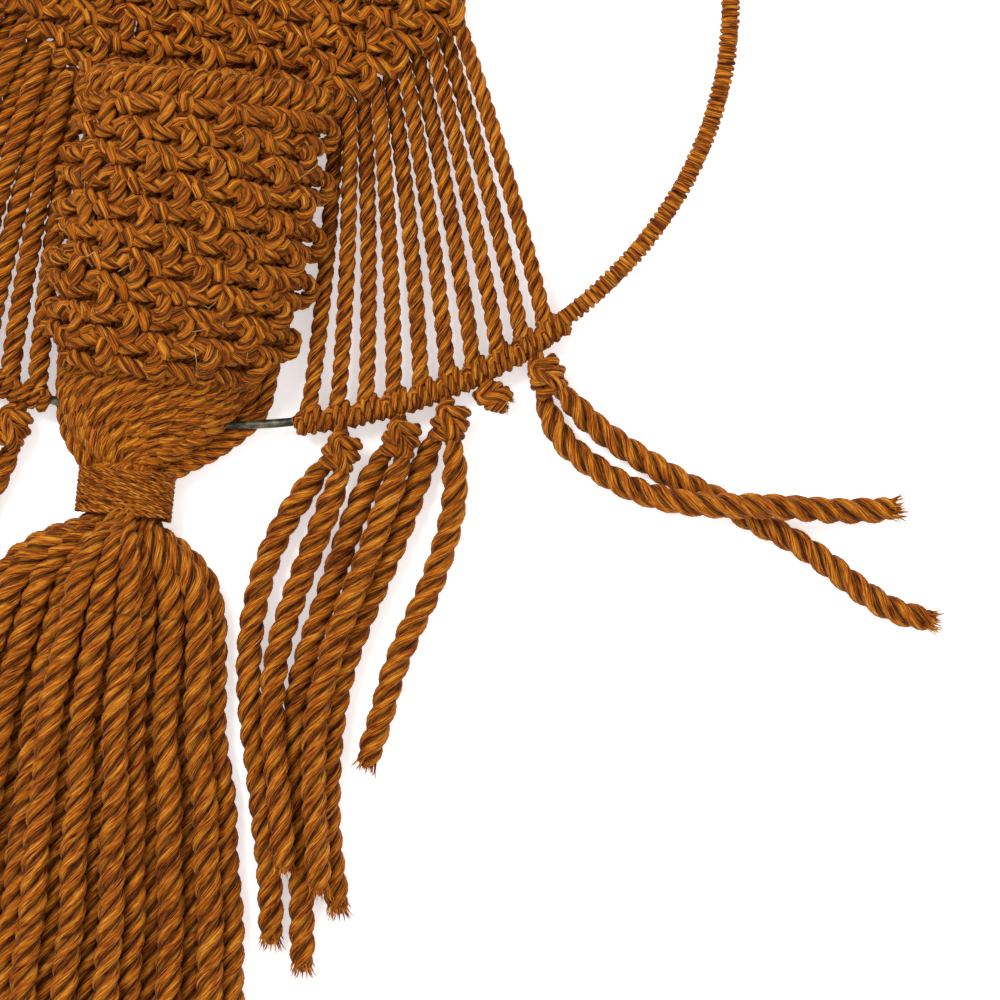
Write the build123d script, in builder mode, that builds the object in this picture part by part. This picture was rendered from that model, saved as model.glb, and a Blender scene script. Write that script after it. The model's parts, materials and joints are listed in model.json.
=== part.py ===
"""Hanging macrame planter: a wire hoop with a knotted panel, a knotted pocket, a tassel and ten pairs of tails.

It is modelled as it lies on its back. +Z comes out of its front, +Y points to the hanging loop.
"""
import math
import os

from build123d import *

os.makedirs("parts", exist_ok=True)

# ---- driving sizes, mm ----------------------------------------------------------------------------
hoop_half_width = 164.0  # of the wire's centreline: a 300 mm hoop pulled oval by its cords
hoop_half_height = 136.5
wire_dia = 2.8
hoop_lift = 7.0  # the wire's centreline above the surface
wrap_thick = 1.4  # yarn wound round the bare wire
slide_gap = 0.05  # between the wire and what is wound round it

taut_dia = 5.8  # a cord pulled tight
tail_dia = 8.5  # the same cord hanging loose
tail_side_gap = 0.2  # between two loose cords that lie side by side
rest_gap = 0.15  # between a lying cord and the surface

hitch_thick = 3.1  # cord wound round the wire in a hitch
head_thick = 3.8  # cord wound round the wire in a lark's head
cords_per_side = 10  # cords hitched to the hoop on each side
right_heads, left_heads = 10, 8  # lark's heads on each side of the hanging loop
winding_gap = 0.2  # degrees between neighbours on the wire
# degrees round the hoop, from +X towards +Y
right_heads_start, right_heads_end = 60.4, 86.4
left_heads_start, left_heads_end = 93.6, 115.7
right_hitch_start, right_hitch_end = -73.7, -44.1
left_hitch_start, left_hitch_end = -133.9, -104.3

panel_x = 4.5  # it hangs a little to the right
panel_half_width = 76.0
panel_thick = 14.0
panel_side_bottom = -5.0  # y of the lower end of its straight side, from the hoop's centre
row_pitch = 8.0
column_step = 8.5  # half a knot, by which each lower row is shorter
short_rows = 4
panel_head_gap = 5.2  # from the wire's centreline to the panel's top edge
back_thick = 10.0  # the panel behind the pocket
back_bottom = -114.0
back_cords_thick = 5.4  # they pass behind the wire

pocket_wall = 11.0
# y, middle x, half width, height above the back
pocket_sections = (
    (-37.2, 4.0, 40.0, 26.0),
    (-62.0, 2.5, 42.0, 30.0),
    (-90.0, 1.2, 41.2, 30.0),
    (-113.0, -1.3, 38.9, 25.0),
    (-135.0, -6.0, 31.0, 16.0),
    (-152.0, -9.0, 14.0, 8.0),
)

gather_x = -9.0  # middle of the tied neck
gather_top, gather_bottom = -152.0, -168.0
neck_half_width, neck_half_height = 14.0, 8.0
gather_thick = 2.0  # thin yarn wound round the neck
swing_gap = 0.4  # between parts that swing and what they swing from
tail_swing_gap = 1.3  # the same for the tails, whose straight axes lie beside the curved wire

loop_dia = 6.4
loop_height = 75.0  # of the hanging loop's centreline above the hoop's
loop_bore_gap = 0.45
loop_sleeve_half_length = 8.6
loop_sleeve_thick = 3.1

root_dia = 6.4  # a tail knot where it leaves its hitch
belly_dia = 11.4
belly_out = 5.0  # from the root to the belly
exit_out = 8.0  # from the belly to the tails
tail_inset = 1.0  # how far a tail reaches into its knot

tassel_head_length = 30.0
tassel_head_height = 22.0
tassel_lower_cords = 9

# the highest part and the lowest part that is no cord set the origin's place between them
top_y = hoop_half_height + loop_height + loop_dia / 2
tassel_top = gather_bottom - swing_gap
tassel_head_bottom = tassel_top - tassel_head_length
middle_y = (top_y + tassel_head_bottom) / 2


def at(x, y, z=0.0):
    """A point given from the hoop's centre."""
    return Vector(x, y - middle_y, z)


def hoop_point(angle):
    """The wire's centreline at an angle of its ellipse."""
    turn = math.radians(angle)
    return at(hoop_half_width * math.cos(turn), hoop_half_height * math.sin(turn), hoop_lift)


def hoop_outward(angle):
    """The level direction out of the hoop, square to the wire."""
    turn = math.radians(angle)
    return Vector(math.cos(turn) / hoop_half_width, math.sin(turn) / hoop_half_height, 0).normalized()


def hoop_arc(start, end):
    """An arc of the wire's centreline. It is called inside a BuildLine."""
    return EllipticalCenterArc(
        at(0, 0, hoop_lift), hoop_half_width, hoop_half_height, start_angle=start, arc_size=end - start
    )


def finish(builder, name):
    """Labels a finished piece and writes it."""
    builder.part.label = name
    export_step(builder.part, f"parts/{name}.step")


def sleeve(start, end, thick):
    """A winding round the wire, as a hollow tube."""
    bore = wire_dia / 2 + slide_gap
    with BuildPart() as winding:
        with BuildLine() as line:
            hoop_arc(start, end)
        with BuildSketch(Plane(origin=line.line @ 0, z_dir=line.line % 0)):
            Circle(bore + thick)
            Circle(bore, mode=Mode.SUBTRACT)
        sweep()
    return winding.part


def arc_radii(points):
    """For each corner of a route, the largest arc that its two runs allow."""
    radii = []
    for before, corner, after in zip(points, points[1:], points[2:]):
        arriving, leaving = corner - before, after - corner
        turn = math.radians(arriving.get_angle(leaving))
        radii.append(0.45 * min(arriving.length, leaving.length) / math.tan(turn / 2))
    return radii


def cord(name, points, dia):
    """A cord's tube along its route: straight runs joined by tangent arcs."""
    radii = arc_radii(points)
    with BuildPart() as tube:
        with BuildLine() as line:
            FilletPolyline(*points, radius=radii)
        with BuildSketch(Plane(origin=line.line @ 0, z_dir=line.line % 0)):
            Circle(dia / 2)
        sweep()
    length = line.wires()[0].length
    filled = tube.part.volume / (math.pi * dia * dia / 4 * length)
    print(f"{name}: {length:.0f} mm, tightest arc {min(radii):.0f} mm, filled {filled:.3f}")
    return tube


# ---- hoop -----------------------------------------------------------------------------------------
with BuildPart() as hoop:
    with BuildLine() as hoop_line:
        hoop_arc(0, 180)
        hoop_arc(180, 360)
    with BuildSketch(Plane(origin=hoop_line.line @ 0, z_dir=hoop_line.line % 0)):
        Circle(wire_dia / 2)
    sweep()
finish(hoop, "hoop")

for side, start, end in (
    ("right", right_hitch_end, right_heads_start),
    ("left", left_heads_end, 360 + left_hitch_start),
):
    with BuildPart() as hoop_wrap:
        add(sleeve(start + winding_gap, end - winding_gap, wrap_thick))
    finish(hoop_wrap, f"hoop_wrap_{side}")


def windings(start, end, count, thick):
    """Equal windings side by side on the wire."""
    step = (end - start) / count
    return [
        sleeve(start + step * number + winding_gap / 2, start + step * (number + 1) - winding_gap / 2, thick)
        for number in range(count)
    ]


with BuildPart() as larks_heads:
    for start, end, count in (
        (right_heads_start, right_heads_end, right_heads),
        (left_heads_start, left_heads_end, left_heads),
    ):
        for winding in windings(start, end, count, head_thick):
            add(winding)
finish(larks_heads, "larks_heads")

for side, start, end in (
    ("right", right_hitch_start, right_hitch_end),
    ("left", left_hitch_start, left_hitch_end),
):
    with BuildPart() as hitches:
        for winding in windings(start, end, cords_per_side, hitch_thick):
            add(winding)
    finish(hitches, f"hitches_{side}")

# ---- hanging loop ---------------------------------------------------------------------------------
loop_foot = hoop_half_height + wire_dia / 2 + loop_bore_gap + loop_sleeve_thick - 1.5
loop_rest = loop_dia / 2 + rest_gap
loop_half = [
    (4.4, loop_foot, hoop_lift),
    (4.8, hoop_half_height + 16, 5.6),
    (13.5, hoop_half_height + 35, loop_rest + 0.4),
    (15.5, hoop_half_height + 55, loop_rest),
    (8.0, hoop_half_height + loop_height, loop_rest),
]
loop_points = [at(-x, y, z) for x, y, z in loop_half] + [at(x, y, z) for x, y, z in reversed(loop_half)]
loop_cord = cord("hanging loop", loop_points, loop_dia)
with BuildPart() as hanging_loop:
    add(loop_cord.part)
    with BuildSketch(
        Plane(origin=at(-loop_sleeve_half_length, hoop_half_height, hoop_lift), z_dir=(1, 0, 0))
    ):
        Circle(wire_dia / 2 + loop_bore_gap + loop_sleeve_thick)
    extrude(amount=2 * loop_sleeve_half_length)
    with BuildSketch(
        Plane(origin=at(-loop_sleeve_half_length, hoop_half_height, hoop_lift), z_dir=(1, 0, 0))
    ):
        Circle(wire_dia / 2 + loop_bore_gap)
    extrude(amount=2 * loop_sleeve_half_length, mode=Mode.SUBTRACT)
finish(hanging_loop, "hanging_loop")

# ---- panel ----------------------------------------------------------------------------------------
top_half_width = hoop_half_width - panel_head_gap
top_half_height = hoop_half_height - panel_head_gap
right_edge, left_edge = panel_x + panel_half_width, panel_x - panel_half_width
right_corner = math.degrees(math.acos(right_edge / top_half_width))
left_corner = math.degrees(math.acos(left_edge / top_half_width))


def steps(edge, corner_angle, inward):
    """One side of the panel, from its top corner down its steps."""
    points = [(edge, top_half_height * math.sin(math.radians(corner_angle))), (edge, panel_side_bottom)]
    for row in range(short_rows):
        x, y = points[-1]
        points += [(x + inward * column_step, y), (x + inward * column_step, y - row_pitch)]
    return points


right_steps, left_steps = steps(right_edge, right_corner, -1), steps(left_edge, left_corner, 1)
stepped_bottom = right_steps[-1][1]

with BuildPart() as panel:
    with BuildSketch():
        with BuildLine():
            EllipticalCenterArc(
                at(0, 0), top_half_width, top_half_height,
                start_angle=right_corner, arc_size=left_corner - right_corner,
            )
            Polyline(*[at(x, y) for x, y in right_steps + left_steps[::-1]])
        make_face()
    extrude(amount=panel_thick)
    with BuildSketch():
        with BuildLine():
            Polyline(
                at(40, stepped_bottom), at(39, -85), at(34, back_bottom),
                at(-40, back_bottom), at(-37, -85), at(-33, stepped_bottom), close=True,
            )
        make_face()
    extrude(amount=back_thick)
finish(panel, "panel")

with BuildPart() as back_cords:
    with BuildSketch():
        with BuildLine():
            Polyline(
                at(34, back_bottom), at(27, -135), at(gather_x + 15, gather_top),
                at(gather_x - 15, gather_top), at(-36, -135), at(-40, back_bottom), close=True,
            )
        make_face()
    extrude(amount=back_cords_thick)
finish(back_cords, "back_cords")


# ---- pocket ---------------------------------------------------------------------------------------
def arch(y, x, half_width, height):
    """Half an ellipse that stands on the panel's back layer, square to Y."""
    with BuildSketch(Plane(origin=at(x, y, back_thick), x_dir=(1, 0, 0), z_dir=(0, -1, 0))) as section:
        with BuildLine():
            EllipticalCenterArc((0, 0), half_width, height, arc_size=180)
            Line((-half_width, 0), (half_width, 0))
        make_face()
    return section.sketch


mouth_y, mouth_x, mouth_half_width, mouth_height = pocket_sections[0]
cavity_sections = [
    arch(mouth_y + 1, mouth_x, mouth_half_width - pocket_wall, mouth_height - pocket_wall)
] + [
    arch(y, x, half_width - pocket_wall, height - pocket_wall)
    for y, x, half_width, height in pocket_sections[1:-2]
]
with BuildPart() as cavity:
    loft(cavity_sections)

with BuildPart() as pocket:
    loft([arch(*section) for section in pocket_sections])
    add(cavity.part, mode=Mode.SUBTRACT)
    with BuildSketch(
        Plane(origin=at(gather_x, gather_top, 10), x_dir=(1, 0, 0), z_dir=(0, -1, 0))
    ):
        Ellipse(neck_half_width, neck_half_height)
    extrude(amount=gather_top - gather_bottom)
finish(pocket, "pocket")

with BuildPart() as gather_wrap:
    with BuildSketch(
        Plane(origin=at(gather_x, gather_top, 10), x_dir=(1, 0, 0), z_dir=(0, -1, 0))
    ):
        Ellipse(neck_half_width + gather_thick, neck_half_height + gather_thick)
        Ellipse(neck_half_width, neck_half_height, mode=Mode.SUBTRACT)
    extrude(amount=gather_top - gather_bottom)
finish(gather_wrap, "gather_wrap")


# ---- drop cords: pulled tight from the panel's steps to the hitches -------------------------------
drop_lift = 2.2  # of the upper layer above the wire's level, and of the lower layer below it
drop_bow = 1.2  # sideways, at two places on the way


def drop_cords(side, first, last, hitch_start, hitch_end):
    """The cords of one side, from the pocket outwards, in turn in the lower and the upper layer."""
    step = (hitch_end - hitch_start) / cords_per_side
    tubes = []
    for number in range(cords_per_side):
        lift = hoop_lift + drop_lift * (1 if number % 2 else -1)
        place = number / (cords_per_side - 1)
        start = at(first[0] + (last[0] - first[0]) * place, first[1] + (last[1] - first[1]) * place, lift)
        angle = hitch_start + step * (number + 0.5)
        foot = hoop_point(angle) - hoop_outward(angle) * (wire_dia / 2 + hitch_thick - 0.8)
        run = Vector(foot.X - start.X, foot.Y - start.Y, 0)
        bow = Vector(-run.Y, run.X, 0).normalized() * (drop_bow if side == "right" else -drop_bow)
        points = [start, start + run * 0.35 + bow, start + run * 0.7 + bow, foot]
        tubes.append(cord(f"drop cord {side} {number + 1}", points, taut_dia))
    with BuildPart() as group:
        for tube in tubes:
            add(tube.part)
    finish(group, f"drop_cords_{side}")


drop_cords("right", (44, -36), (79.5, -3.5), right_hitch_start, right_hitch_end)
drop_cords("left", (-37, -36), (-71, -3.5), left_hitch_end, left_hitch_start)


# ---- tails: after its hitches each pair of cords is knotted and lies loose -------------------------
lying = tail_dia / 2 + rest_gap


def tail_pair(hitch_angle, exit_angle, high_side):
    """Where a knot's root, belly and tails are, with the ways they face and the way from tail to tail."""
    outward = hoop_outward(hitch_angle)
    onward = Vector(math.cos(math.radians(exit_angle)), math.sin(math.radians(exit_angle)), 0)
    across = Vector(-onward.Y, onward.X, 0) * high_side
    rise = (across + Vector(0, 0, 1)).normalized()
    root = hoop_point(hitch_angle) + outward * (wire_dia / 2 + hitch_thick + tail_swing_gap)
    belly = root + outward * belly_out
    pair_lift = lying + rise.Z * (tail_dia + tail_side_gap) / 2
    mouth = belly + onward * exit_out
    mouth = Vector(mouth.X, mouth.Y, pair_lift)
    return outward, onward, rise, root, belly, mouth


def tail_knot(pair):
    """An overhand knot with the first, squeezed part of its two tails."""
    outward, onward, rise, root, belly, mouth = pair
    with BuildPart() as knot:
        with BuildSketch(Plane(origin=root, x_dir=rise, z_dir=outward)):
            Circle(root_dia / 2)
        with BuildSketch(Plane(origin=belly, x_dir=rise, z_dir=outward + onward)):
            Circle(belly_dia / 2)
        with BuildSketch(Plane(origin=mouth, x_dir=rise, z_dir=onward)):
            SlotOverall(2 * tail_dia + tail_side_gap, tail_dia)
        loft()
    return knot.part


def tail_start(pair, height):
    """The first point of a tail, a little inside its knot. height is -1 for the low tail and 1 for the high."""
    outward, onward, rise, root, belly, mouth = pair
    return mouth + rise * height * (tail_dia + tail_side_gap) / 2 - onward * tail_inset


# For each knot: its place on the hoop, the way its tails leave, the side of the high tail, and the
# routes of the low and the high tail. A route is counted from the knot's place on the wire, and its
# third number is how far the cord is lifted off the surface.
tails = {
    "right_1": (-70.7, -112, 1, (
        (-9.5, -27.5, 0), (-16, -42.5, 0), (-19.5, -59.5, 0), (-20, -77.5, 0), (-17.5, -95.5, 0),
        (-13, -113.5, 0), (-9, -132.5, 0), (-5, -150.5, 0), (-3.5, -165.5, 0),
    ), (
        (0, -30.5, 4), (-4, -44.5, 1), (-8, -59.5, 0), (-11, -75.5, 1), (-11, -91.5, 5),
        (-8, -108.5, 7), (-4.5, -125.5, 7.3), (-1.5, -142.5, 7),
    )),
    "right_2": (-64.2, -108, 1, (
        (-6, -28, 0), (-10.5, -45, 0), (-14, -62, 0), (-18.5, -80, 0), (-21, -98, 0), (-19.5, -117, 0),
        (-15, -137, 0), (-12.5, -157, 0), (-10, -179, 0),
    ), (
        (1.5, -30, 6), (-2, -46, 6.2), (-7, -63, 6.6), (-11.5, -81, 6.8), (-14, -99, 7), (-13, -118, 7.2),
        (-10, -137, 7.5), (-7, -154, 7.4),
    )),
    "right_3": (-58.7, -104, 1, (
        (-3.5, -28.5, 0), (-7.2, -44.5, 0), (-12, -60, 0), (-17, -75.5, 0), (-21, -91.5, 0),
        (-22.5, -108.5, 0), (-22, -126.5, 0), (-19.8, -145.5, 0), (-14.5, -166, 0),
    ), (
        (8.5, -29.5, 3), (8, -43.5, 0), (4, -62.5, 0), (-1.5, -77.5, 0), (-5.5, -91.5, 0),
        (-7.4, -105.5, 0), (-10.5, -119.5, 0),
    )),
    "right_5": (-47.2, -68, 1, (
        (11.5, -27.5, 0), (22, -35, 0), (35, -41.5, 0.5), (49, -44.5, 6), (63, -44.5, 9),
        (78, -43, 9.2), (92, -42.5, 5), (106, -42, 0), (120, -39.5, 0),
    ), (
        (19.5, -21, 2), (30, -27.5, 0), (42, -33.5, 0), (54, -39, 0), (66, -43, 0), (77, -48.3, 0),
        (88, -52, 0), (100, -58.3, 0), (113, -67, 0), (125, -72.5, 0), (135, -73, 0),
    )),
    "left_1": (-105.5, -112, -1, (
        (-7, -30.5, 0), (-13, -45.5, 0), (-18.5, -62.5, 0), (-22.5, -80.5, 0), (-24.5, -99.5, 0),
        (-29, -118.5, 0), (-29.5, -137.5, 0), (-29, -156.5, 0), (-30.5, -173.5, 0),
    ), (
        (-15, -27, 4), (-22.5, -40.5, 0), (-29.5, -55.5, 0), (-34, -72.5, 0), (-35.5, -90.5, 0),
        (-39.5, -108.5, 0), (-40.2, -126.5, 0), (-38.1, -144.5, 0), (-39.3, -161.5, 0),
    )),
    "left_2": (-111.5, -114, -1, (
        (-9.3, -30, 0), (-17.8, -44, 0), (-25, -59, 0), (-28.7, -76, 0), (-30.6, -94, 0), (-34, -112, 0),
        (-34, -130, 0), (-31.5, -148, 0), (-33.5, -164, 0),
    ), (
        (-17.4, -26, 3.5), (-26.5, -38, 0), (-35, -52, 0), (-40, -68, 0), (-41.5, -85, 0), (-45, -102, 0),
        (-47, -119, 0), (-44.5, -136, 0), (-46, -152, 0),
    )),
    "left_3": (-117.0, -118, -1, (
        (-12.4, -27.5, 0), (-24.1, -39, 0), (-33.6, -52, 0), (-38.6, -67.5, 0), (-40.6, -84.5, 0),
        (-43.6, -101.5, 0), (-44.6, -118.5, 0), (-42.6, -135.5, 0), (-44.6, -151.5, 0),
    ), (
        (-19.6, -22.9, 3), (-33.9, -32.3, 0), (-44.6, -44.5, 0), (-50.1, -59.5, 0), (-51.6, -76.5, 0),
        (-53.4, -93.5, 0), (-54.1, -110.5, 0), (-52.4, -127.5, 0), (-53.6, -142.5, 0),
    )),
    "left_4": (-122.0, -127, -1, (
        (-18.6, -24.6, 0), (-31.9, -32.3, 0), (-42.1, -42.5, 0), (-47.1, -57, 0), (-49.1, -74, 0),
        (-52.1, -91, 0), (-53.6, -108, 0), (-53.4, -125, 0), (-54.4, -140, 0),
    ), (
        (-24.8, -18.8, 3.5), (-39.6, -22.9, 0), (-51.1, -31.5, 0), (-58.1, -44.5, 0), (-59.6, -60, 0),
        (-62.6, -76.5, 0), (-64.6, -93, 0), (-63.6, -109, 0), (-65.1, -125, 0),
    )),
    "left_5": (-128.5, -138, -1, (
        (-22.6, -20.4, 0), (-36.5, -25, 0), (-48.2, -33, 0), (-54.2, -45.5, 0), (-56.2, -61.5, 0),
        (-59.2, -77.5, 0), (-60.7, -93.5, 0), (-59.2, -109.5, 0), (-60.7, -124.5, 0),
    ), (
        (-27.9, -10, 3.2), (-44.3, -12, 0), (-56.7, -17.5, 0), (-64.2, -28.5, 0), (-67.2, -43.5, 0),
        (-68.7, -59.5, 0), (-70.7, -75.5, 0), (-71.7, -90.5, 0), (-70.2, -105.5, 0), (-71.7, -119.5, 0),
    )),
}

tangled_knots = []
for name, (hitch_angle, exit_angle, high_side, low_route, high_route) in tails.items():
    tangled = name in ("right_1", "right_2", "right_3")
    pair = tail_pair(hitch_angle, exit_angle, high_side)
    knot = tail_knot(pair)
    if tangled:
        tangled_knots.append(knot)
    else:
        with BuildPart() as single_knot:
            add(knot)
        finish(single_knot, f"tail_knot_{name}")
    for height, letter, route in ((-1, "a", low_route), (1, "b", high_route)):
        points = [tail_start(pair, height)]
        place = hoop_point(hitch_angle)
        points += [Vector(place.X + x, place.Y + y, lying + lift) for x, y, lift in route]
        tail = cord(f"tail {name}{letter}", points, tail_dia)
        finish(tail, f"tail_{name}{letter}")

with BuildPart() as tangled_group:
    for knot in tangled_knots:
        add(knot)
finish(tangled_group, "tail_knots_right_inner")

trimmed_angle = -53.8  # the knot whose tails were cut off short
trimmed_way = Vector(math.cos(math.radians(-25)), math.sin(math.radians(-25)), 0)
with BuildPart() as trimmed_knot:
    trimmed_out = hoop_outward(trimmed_angle)
    trimmed_root = hoop_point(trimmed_angle) + trimmed_out * (wire_dia / 2 + hitch_thick + swing_gap)
    trimmed_belly = trimmed_root + trimmed_out * 4.4
    with BuildSketch(Plane(origin=trimmed_root, z_dir=trimmed_out)):
        Circle(2.6)
    with BuildSketch(Plane(origin=trimmed_belly, z_dir=trimmed_out + trimmed_way)):
        Circle(4.7)
    with BuildSketch(Plane(origin=trimmed_belly + trimmed_way * 6.5, z_dir=trimmed_way)):
        Circle(3.6)
    loft()
finish(trimmed_knot, "tail_knot_right_4")

# ---- tassel ---------------------------------------------------------------------------------------
tassel_spacing = tail_dia + tail_side_gap
tassel_half_width = (tassel_lower_cords * tassel_spacing) / 2
tassel_head_x = gather_x - 3.0
with BuildPart() as tassel_head:
    with BuildSketch(Plane(origin=at(gather_x, tassel_top, 10), x_dir=(1, 0, 0), z_dir=(0, -1, 0))):
        Ellipse(neck_half_width, neck_half_height)
    with BuildSketch(
        Plane(origin=at(tassel_head_x, tassel_head_bottom, tassel_head_height / 2 + rest_gap),
              x_dir=(1, 0, 0), z_dir=(0, -1, 0))
    ):
        RectangleRounded(2 * tassel_half_width, tassel_head_height, tassel_head_height / 2.5)
    loft()
finish(tassel_head, "tassel_head")

# Going down the tassel: y, and the middles of its outermost cords on the left and on the right.
tassel_fan = (
    (-198.0, -47.0, 22.6), (-215.0, -52.0, 24.0), (-233.0, -55.0, 26.5), (-252.0, -57.5, 31.0),
    (-271.0, -59.5, 34.5), (-291.0, -61.0, 37.5), (-311.0, -62.5, 40.0), (-330.0, -63.5, 42.0),
)
# For each cord: its place across, counted in spacings from the left, its layer, and its end's y.
tassel_cords = (
    (0, 0, -322), (1, 0, -331), (2, 0, -338), (3, 0, -329), (4, 0, -340), (5, 0, -334), (6, 0, -342),
    (7, 0, -333), (8, 0, -326),
    (0.5, 1, -333), (1.5, 1, -325), (2.5, 1, -337), (3.5, 1, -341), (4.5, 1, -332), (5.5, 1, -336),
    (6.5, 1, -328), (7.5, 1, -331),
    (3, 2, -330), (4, 2, -339), (5, 2, -327),
)
# How far the whole tassel sways at each level, so that no cord runs straight.
tassel_sway = (0, 0.5, -0.7, 0.6, -0.8, 0.7, -0.6, 0.4)
for number, (place, layer, end_y) in enumerate(tassel_cords, 1):
    points = []
    for (y, left, right), sway in zip(tassel_fan, tassel_sway):
        spacing = (right - left) / (tassel_lower_cords - 1)
        rise = math.sqrt(tassel_spacing**2 - (min(spacing, 1.2 * tassel_spacing) / 2) ** 2)
        if y == tassel_fan[-1][0]:
            y = end_y
        points.append(at(left + spacing * place + sway, y, lying + rise * layer))
    points[0] = Vector(points[0].X, at(0, tassel_head_bottom + tail_inset).Y, points[0].Z)
    tassel_cord = cord(f"tassel cord {number}", points, tail_dia)
    finish(tassel_cord, f"tassel_cord_{number:02}")
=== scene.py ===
# %% [markdown]
# # A hanging macrame planter
# A wire hoop holds a panel of square knots. A knotted pocket sits on the front of the panel, its cords are
# gathered into a tassel, and the panel's outer cords are hitched to the hoop and end in loose, frayed tails.
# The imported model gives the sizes. Everything here is cord laid along the same places.

# %% Load the frame
import json
import math

import bpy
import numpy as np
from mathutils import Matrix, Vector

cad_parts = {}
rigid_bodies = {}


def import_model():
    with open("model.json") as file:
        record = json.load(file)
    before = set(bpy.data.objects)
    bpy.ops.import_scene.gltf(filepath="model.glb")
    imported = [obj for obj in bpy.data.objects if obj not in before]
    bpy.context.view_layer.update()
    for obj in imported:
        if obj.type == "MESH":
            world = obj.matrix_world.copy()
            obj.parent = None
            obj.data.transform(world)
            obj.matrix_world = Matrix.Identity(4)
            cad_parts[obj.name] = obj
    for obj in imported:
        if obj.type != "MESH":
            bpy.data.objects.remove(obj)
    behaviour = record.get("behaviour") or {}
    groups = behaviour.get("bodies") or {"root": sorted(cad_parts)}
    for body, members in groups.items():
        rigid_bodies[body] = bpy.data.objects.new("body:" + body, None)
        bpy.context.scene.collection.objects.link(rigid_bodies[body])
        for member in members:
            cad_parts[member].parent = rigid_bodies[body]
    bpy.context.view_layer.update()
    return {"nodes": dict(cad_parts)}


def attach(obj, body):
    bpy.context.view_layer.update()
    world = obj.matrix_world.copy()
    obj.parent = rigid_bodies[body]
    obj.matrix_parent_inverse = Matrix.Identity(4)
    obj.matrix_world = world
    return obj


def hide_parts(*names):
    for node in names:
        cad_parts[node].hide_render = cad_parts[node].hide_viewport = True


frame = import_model()
bpy.ops.object.select_all(action="DESELECT")

# %% [markdown]
# The planter lies on its back on a table, so the camera looks straight down. A long lens far away keeps the
# view nearly free of perspective. The camera is turned six degrees, and it frames
# the lower right part of the hoop.

# %% The hoop's measures and the camera
mm = 0.001
hoop_half_width, hoop_half_height = 164.0, 136.5
wire_lift = 7.0
middle_y = 8.15  # from the row's origin up to the hoop's centre it is minus this
tail_dia = 8.5


def at(x, y, z):
    """A place given in millimetres from the hoop's centre, in the row's frame."""
    return np.array((x, y - middle_y, z))


camera_turn = math.radians(6)
view_width, view_distance = 0.3125, 1.9
camera_data = bpy.data.cameras.new("camera")
camera_data.lens = 36 * view_distance / view_width
camera_data.clip_end = 20
camera = bpy.data.objects.new("camera", camera_data)
bpy.context.scene.collection.objects.link(camera)
camera.location = (0.1078, -0.158, view_distance + 0.012)
camera.rotation_euler = (0, 0, camera_turn)
bpy.context.scene.camera = camera
print("camera", tuple(round(c, 3) for c in camera.location))

# %% [markdown]
# The light is that of a bright studio tent: a large soft panel above, a little to one side so that the cords
# keep a shaded flank, and an even pale surround that fills the shadows. The floor is a plain white sheet.

# %% Floor, surround and lamps
bpy.context.scene.view_settings.view_transform = "Standard"
bpy.ops.mesh.primitive_plane_add(size=6, location=(0, 0, -0.0005))
floor = bpy.context.object
floor.name = "floor"

surround = bpy.data.worlds.new("surround")
surround.use_nodes = True
surround.node_tree.nodes["Background"].inputs["Color"].default_value = (1, 1, 1, 1)
surround.node_tree.nodes["Background"].inputs["Strength"].default_value = 0.85
bpy.context.scene.world = surround


def lamp(name, place, size, power):
    """A square soft light that shines at the middle of the planter."""
    data = bpy.data.lights.new(name, "AREA")
    data.size, data.energy = size, power
    light = bpy.data.objects.new(name, data)
    bpy.context.scene.collection.objects.link(light)
    light.location = place
    aim = Vector((0.05, -0.1, 0)) - light.location
    light.rotation_euler = aim.to_track_quat("-Z", "Y").to_euler()


lamp("key_light", (-0.55, 0.35, 1.15), 0.5, 11)
lamp("fill_light", (1.2, -0.9, 1.5), 1.2, 4)

# %% [markdown]
# The cord is a plied blend of acrylic and wool, spun from rust, gold and dark brown fibres. Each ply shows
# long thin streaks along its own length, so the pattern is stretched along the cord's UV map, whose units
# are millimetres. The grooves between the plies are darker because little light gets in there.

# %% Helpers for colours and nodes
def linear(hex_colour):
    """An sRGB hex colour as the linear values that a shader takes."""
    channels = [int(hex_colour[n:n + 2], 16) / 255 for n in (1, 3, 5)]
    return [c / 12.92 if c <= 0.04045 else ((c + 0.055) / 1.055) ** 2.4 for c in channels] + [1.0]


def new_material(name):
    """An empty node material with its output and a Principled shader."""
    material = bpy.data.materials.new(name)
    material.use_nodes = True
    return material, material.node_tree.nodes["Principled BSDF"]


def add_node(material, kind, links=(), **settings):
    """Adds a node, sets its properties, and links (from socket, to input name or number)."""
    node = material.node_tree.nodes.new(kind)
    for key, value in settings.items():
        setattr(node, key, value)
    for source, target in links:
        if hasattr(source, "links"):
            material.node_tree.links.new(source, node.inputs[target])
        else:
            node.inputs[target].default_value = source
    return node


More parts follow.
